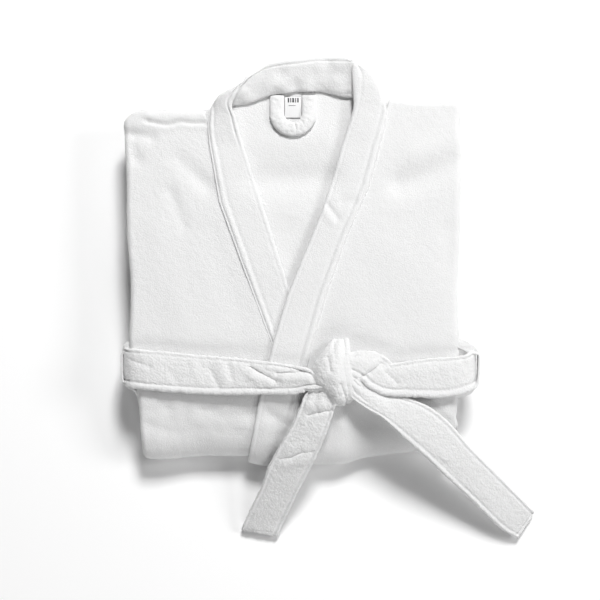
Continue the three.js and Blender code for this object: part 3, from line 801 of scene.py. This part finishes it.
def belt_knot():
    """The knot's outer turn: a strip that comes up behind, swells over the top and tucks in below."""
    a = np.linspace(math.radians(-24), math.radians(204), 130)[:, None]
    u = edged(TAIL_WIDE, 1.05, 2.5)[None, :]
    v = 2 * u - 1
    middle_y, reach, low_z, rise = -110, 37.5, 65, 22.5
    y = middle_y + reach * np.cos(a) + 0 * v
    low, high = along(KNOT_LOW_X, y), along(KNOT_HIGH_X, y)
    x = (low + high) / 2 + (high - low) / 2 * v
    swell = np.sign(np.sin(a)) * np.abs(np.sin(a)) ** (0.75 + 0.6 * ramp(np.cos(a), 0, 0.9))
    z = low_z + rise * swell * (1 - 0.55 * np.abs(v) ** 2.6) + 2.5 * v * np.sin(a)
    mid = np.stack([x, y, z], axis=-1)
    ridge = 0.5 * np.sin(7.0 * v + 0.9 * np.cos(a) + 0.5)
    ridge = ridge + 1.5 * bell(v - 0.84, 0.09) - 2.4 * bell(v - 0.63, 0.055)
    ridge = ridge + creases(mid, KNOT_FOLDS) * ramp(np.sin(a), 0.0, 0.3)
    mid = mid - normals(mid) * (ridge * (1 - v**8))[..., None]
    mid[..., 2] += 0.8 * noise(mid, 22, 71)
    half = round_ends(3.0 * rounded(np.minimum(u, 1 - u) * 42, 3.0) + 0 * mid[..., 0], mid, 3)
    obj = sheet_mesh("belt_knot_turn", mid, half, pile=0.22, seed=71, flip=True)
    finish_piece(obj, "belt", ["belt_knot"], SHAGGY)


# Belt loops: their line in plan round the belt, from the seam above it to the seam below
LEFT_LOOP = [
    (199, -64), (204, -68.5), (213, -72.5), (221, -77.5), (226, -84), (227.3, -92), (227.3, -108),
    (226, -122), (220.5, -134), (211, -139.5), (199, -142),
]
RIGHT_LOOP = [
    (-196, -70), (-203, -73), (-208, -78), (-210, -88), (-210.4, -110), (-208.6, -122), (-202, -130),
    (-195.5, -134.5), (-192, -142), (-190.5, -150), (-188, -158), (-183, -163),
]


LOOP_WIDE = 13


def belt_loop(name, line, node_name, height, lean, seed):
    """A loop round the belt: on edge beside it, and leaning in towards the packet at both ends."""
    rows = even([(x, y, 0) for x, y in line], 1.5)
    t = unit(np.gradient(rows, axis=0))
    side = -1 if line[0][0] < 0 else 1
    inward = np.stack([side * t[:, 1], -side * t[:, 0], 0 * t[:, 0]], axis=-1)
    u = edged(LOOP_WIDE, 1.3, 1.45)
    angle = (lean * (ramp(rows[:, 1], -90, -79) + 0.4 * ramp(rows[:, 1], -126, -138)))[:, None]
    w = LOOP_WIDE * (u[None, :] - 0.5)
    mid = rows[:, None, :] + inward[:, None, :] * ((LOOP_WIDE / 2 + w) * np.sin(angle))[..., None]
    mid[..., 2] = height + 6 * np.sin(angle) + w * np.cos(angle)
    d = np.minimum(u, 1 - u)[None, :] * LOOP_WIDE
    half = (1.45 - 0.4 * bell(d - 3, 0.8)) * rounded(d, 1.4) + 0 * mid[..., 0]
    mid[..., 0] += 0.4 * noise(mid, 12, seed)
    obj = sheet_mesh(name, mid, half, pile=0.3, seed=seed, flip=side < 0)
    finish_piece(obj, "robe", [node_name])


# ---------------------------------------------------------------- neck details
def hanger_loop():
    """The loop that the robe hangs by: two legs at the seam and a pleated half ring."""
    radius, leg_y, wide, rest_z = 19.6, 206.0, 17.5, 60.9
    a = np.linspace(math.pi, 2 * math.pi, 60)
    legs = steps(NECK_Y, leg_y, 1.5)[:-1]
    x = np.concatenate([legs * 0 - radius, radius * np.cos(a), legs * 0 + radius])
    y = np.concatenate([legs, leg_y + radius * np.sin(a), legs[::-1]])
    line = np.stack([x, y], axis=-1)
    t = unit(np.gradient(line, axis=0))
    out = np.stack([t[:, 1], -t[:, 0]], axis=-1)
    u = edged(wide, 1.2, 3.0)
    flat = line[:, None] + out[:, None] * ((u[None, :] - 0.5) * wide)[..., None]
    mid = np.concatenate([flat, np.full(flat.shape[:2] + (1,), rest_z)], axis=-1)
    proud = ramp(y, NECK_Y - 4, leg_y - 16)[:, None] + 0 * flat[..., 0]
    w = 2 * u[None, :] - 1
    pleat = proud * np.sin(np.arctan2(y - leg_y, x) * 17)[:, None]
    pleat = pleat * (0.4 + 0.6 * ramp(-x, -6, 12)[:, None])
    pucker = bell(x, 1.6)[:, None] - 1.2 * bell(np.abs(x) - 3.4, 1.3)[:, None]
    pucker = pucker * (y < leg_y)[:, None]
    mid[..., 2] += 1.4 * proud + (1 + proud) * (1 - w**2) + (0.16 * pleat + 0.35 * pucker) * (1 - w**4)
    half = (1.8 + 0.8 * proud) * rounded(np.minimum(u, 1 - u) * wide, 4.0)
    half = round_ends(half, mid, 2)
    obj = sheet_mesh("hanger_loop_strip", mid, half, pile=0.35, seed=91, flip=True)
    finish_piece(obj, "hanger", ["hanger_loop"])


def woven_material(name):
    """The label's smooth ribbon."""
    material, tree, shader = new_material(name, 0.55)
    shader.inputs["Sheen Weight"].default_value = 0.2
    place = node(tree, "ShaderNodeTexCoord")
    weave = node(tree, "ShaderNodeTexWave", Scale=900.0, Distortion=0.4)
    tree.links.new(place.outputs["Object"], weave.inputs["Vector"])
    tint(tree, weave.outputs["Fac"], shader, (0.74, 0.74, 0.74), (0.84, 0.84, 0.84))
    bump_by(tree, weave.outputs["Fac"], shader, 0.3, 0.0002)
    return material


def thread_material(name, colour):
    """Stitches of one thread, darker where it turns."""
    material, tree, shader = new_material(name, 0.7)
    place = node(tree, "ShaderNodeTexCoord")
    twist = node(tree, "ShaderNodeTexNoise", Scale=2500.0, Detail=2.0)
    tree.links.new(place.outputs["Object"], twist.inputs["Vector"])
    tint(tree, twist.outputs["Fac"], shader, [0.6 * c for c in colour], colour)
    return material


# Generic stitched marks in place of the size: middle, width, top and bottom of each bar
LABEL_MARKS = [
    (-5.6, 1.8, 224.8, 219.2), (-2.8, 1.2, 224.8, 219.2), (0.2, 2.2, 224.8, 219.2),
    (3.2, 1.2, 224.8, 219.2), (6.0, 1.8, 224.8, 219.2), (-1.2, 8.5, 215.6, 215.0),
]
LABEL_HALF, LABEL_TOP, LABEL_LOW = 10.6, 226.0, 200.0


def label_height(x, y):
    """The label's gentle wave."""
    return 60.3 + 0.3 * np.cos(x / 6) + 0.5 * ramp(y, 226, 220) - 0.4 * ramp(y, 216, 202)


def size_label():
    """The size label, with plain bars on it."""
    gx, gy = np.meshgrid(np.linspace(-LABEL_HALF, LABEL_HALF, 21), np.linspace(LABEL_TOP, LABEL_LOW, 25))
    mid = np.stack([gx, gy, label_height(gx, gy)], axis=-1)
    edge = np.minimum(LABEL_HALF - np.abs(gx), np.minimum(LABEL_TOP - gy, gy - LABEL_LOW))
    obj = sheet_mesh("size_label_cloth", mid, 0.3 * rounded(edge, 1.0), pile=0.0, seed=95)
    finish_piece(obj, "label", ["size_label"], woven_material("label_weave"))
    grey = thread_material("label_thread", (0.09, 0.09, 0.095))
    for i, (at, wide, top, low) in enumerate(LABEL_MARKS):
        bx, by = np.meshgrid(np.linspace(at - wide / 2, at + wide / 2, 5), np.linspace(top, low, 9))
        near = np.minimum(wide / 2 - np.abs(bx - at), np.minimum(top - by, by - low))
        points = np.stack([bx, by, label_height(bx, by) + 0.35], axis=-1)
        bar = sheet_mesh(f"label_mark_{i}", points, 0.12 * rounded(near, 0.3), pile=0.0)
        finish_piece(bar, "label", [], grey)


# ---------------------------------------------------------------- pockets and sleeves
POCKET_LOW_Y, POCKET_TALL = -46, 191
POCKET_HEM = 32


def patch_pocket(name, node_name, x0, x1, seed):
    """A patch pocket under the packet, with its hem and stitched edge."""
    u = edged(x1 - x0, 3.0, 1.5)
    v = edged(POCKET_TALL, 3.0, 1.5)
    x, y = np.meshgrid(x0 + (x1 - x0) * u, POCKET_LOW_Y + POCKET_TALL * v)
    mid = np.stack([x, y, 1.65 + 0 * x], axis=-1)
    from_top = POCKET_LOW_Y + POCKET_TALL - y
    d = np.minimum(np.minimum(x - x0, x1 - x), np.minimum(y - POCKET_LOW_Y, from_top))
    half = (1.35 - 0.5 * bell(d - 5.5, 1.3) - 0.5 * bell(from_top - POCKET_HEM, 1.4)) * rounded(d, 1.4)
    mid[..., 2] += 0.25 * noise(mid, 30, seed)
    obj = sheet_mesh(name, mid, half, pile=0.2, seed=seed)
    finish_piece(obj, "robe", [node_name])


def sleeve(name, node_name, x0, x1, low_z, seed):
    """A flattened sleeve: cloth that goes round from its under layer to its upper one."""
    half_wide, thick, turn, apart, middle_y = 112.0, 1.25, 1.7, 1.65, 90
    a = np.linspace(-math.pi / 2, math.pi / 2, 7)[1:-1]
    flat = steps(-half_wide, half_wide, 6)
    edge = half_wide + turn * np.cos(a)
    ring_y = np.concatenate([flat, edge, flat[::-1], -edge])
    ring_z = np.concatenate([flat * 0 - apart, turn * np.sin(a), flat * 0 + apart, -turn * np.sin(a)])
    x = steps(x0, x1, 6)
    gx = np.repeat(x[:, None], len(ring_y), axis=1)
    gy = np.repeat(ring_y[None, :], len(x), axis=0) + middle_y
    gz = np.repeat(ring_z[None, :], len(x), axis=0) + low_z + 3
    mid = np.stack([gx, gy, gz], axis=-1)
    mid[..., 2] += 0.25 * noise(mid * (1, 1, 0), 45, seed)
    half = round_ends(np.full(gx.shape, thick), mid, thick)
    obj = sheet_mesh(name, mid, half, pile=0.15, seed=seed)
    finish_piece(obj, "robe", [node_name])


# ---------------------------------------------------------------- light, floor, camera
CAMERA_Z = 1.5
CAMERA_LENS = 70.7
CAMERA_AT = ((ORIGIN[0] + 8.5) / 1000, (ORIGIN[1] - 22) / 1000)


def stage():
    """A plain pale floor."""
    bpy.ops.mesh.primitive_grid_add(size=6, x_subdivisions=2, y_subdivisions=2, location=(0, 0, -0.0005))
    floor = bpy.context.object
    floor.name = "floor"
    material, _, shader = new_material("floor", 0.9)
    shader.inputs["Base Color"].default_value = (0.97, 0.97, 0.97, 1)
    floor.data.materials.append(material)


def area_light(name, place, size, power):
    """A soft light of size metres, aimed at the middle of the floor."""
    data = bpy.data.lights.new(name, "AREA")
    data.shape = "RECTANGLE"
    data.size, data.size_y = size
    data.energy = power
    lamp = bpy.data.objects.new(name, data)
    lamp.location = place
    lamp.rotation_euler = (-Vector(place)).to_track_quat("-Z", "Y").to_euler()
    bpy.context.scene.collection.objects.link(lamp)


def camera():
    """Looks straight down."""
    data = bpy.data.cameras.new("camera")
    data.sensor_width = 36
    data.lens = CAMERA_LENS
    cam = bpy.data.objects.new("camera", data)
    cam.location = (*CAMERA_AT, CAMERA_Z)
    bpy.context.scene.collection.objects.link(cam)
    bpy.context.scene.camera = cam


def world():
    """A faint even light from everywhere."""
    made = bpy.data.worlds.new("world")
    made.use_nodes = True
    sky = made.node_tree.nodes["Background"]
    sky.inputs["Color"].default_value = (1, 1, 1, 1)
    sky.inputs["Strength"].default_value = 0.03
    bpy.context.scene.world = made


# ---------------------------------------------------------------- everything, in order
front_panel("right_front_cloth", -1, LEVEL[1], 9.8, 6.5, (11, 7), RIGHT_SEAM, RIGHT_BOTTOM,
            "right_front_panel")
front_panel("left_front_cloth", 1, LEVEL[0], 8.15, 8.15, (5, 4), LEFT_SEAM, LEFT_BOTTOM,
            "left_front_panel")
back_panel()
collar_band()
belt_ring()
tail("belt_short_end", SHORT_TAIL, "belt_short_tail", 51, SHORT_FOLDS, 4.5, 5.5)
tail("belt_long_end", LONG_TAIL, "belt_long_tail", 61, LONG_FOLDS, 6.0, 4.5)
belt_knot()
belt_loop("left_loop_strip", LEFT_LOOP, "left_belt_loop", 56, 1.35, 81)
belt_loop("right_loop_strip", RIGHT_LOOP, "right_belt_loop", 48, 0.8, 82)
hanger_loop()
size_label()
patch_pocket("right_pocket_patch", "right_pocket", -190, -50, 101)
patch_pocket("left_pocket_patch", "left_pocket", 60, 195, 102)
sleeve("right_sleeve_cloth", "right_sleeve", -188, 72, 36.9, 111)
sleeve("left_sleeve_cloth", "left_sleeve", -72, 188, 43.3, 112)

stage()
world()
camera()
area_light("key", (0.5, 2.83, 2.78), (0.9, 0.9), 170)
area_light("front", (0.0, -3.63, 1.69), (2.0, 1.2), 66)
area_light("side", (3.23, 0.57, 2.29), (1.2, 1.2), 55)
bpy.context.scene.view_settings.view_transform = "Standard"
